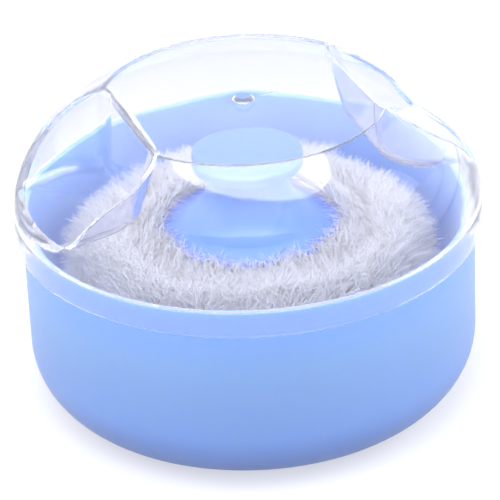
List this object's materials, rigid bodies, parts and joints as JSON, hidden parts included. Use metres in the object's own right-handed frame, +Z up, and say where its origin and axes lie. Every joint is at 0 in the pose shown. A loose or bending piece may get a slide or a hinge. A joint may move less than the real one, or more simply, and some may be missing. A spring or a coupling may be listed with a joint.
{
  "type": "powder puff box",
  "caption": "Round plastic powder box: deep bowl with rounded foot, clear lift-off dome lid with opposed finger notches, and a plush puff on a spool-shaped handle resting on the powder.",
  "frame": {"origin": "centre of the foot ring, on the surface the box stands on", "axes": "+Z up out of the bowl, X through the middle of both finger notches, Y along the grip bar between them"},
  "size_m": [0.093, 0.093, 0.0634],
  "materials": {
    "bowl_blue": "satin, slightly translucent moulded plastic",
    "talc_white": "loose white powder",
    "lid_clear": "clear, faintly milky moulded plastic, polished",
    "handle_blue": "satin moulded plastic",
    "disc_white": "plain moulded plastic",
    "plush_upper": "long soft white pile",
    "plush_lower": "long soft white pile",
    "filling_white": "loose fibre filling"
  },
  "bodies": {
    "base": {"base_bowl": "bowl_blue", "talc_fill": "talc_white"},
    "lid": {"lid": "lid_clear"},
    "puff": {"plush_top": "plush_upper", "plush_bottom": "plush_lower", "puff_core": "filling_white", "clamp_disc": "disc_white", "puff_handle": "handle_blue"}
  },
  "joints": [
    {"name": "lid_lift", "type": "slide", "parent": "base", "child": "lid", "axis": [0, 0, 1], "range_m": [0, 0.09]},
    {"name": "puff_lift", "type": "slide", "parent": "base", "child": "puff", "axis": [0, 0, 1], "range_m": [0, 0.036]}
  ],
  "couplings": [
    {"joint": "puff_lift", "follows": "lid_lift", "ratio": 0.4}
  ]
}
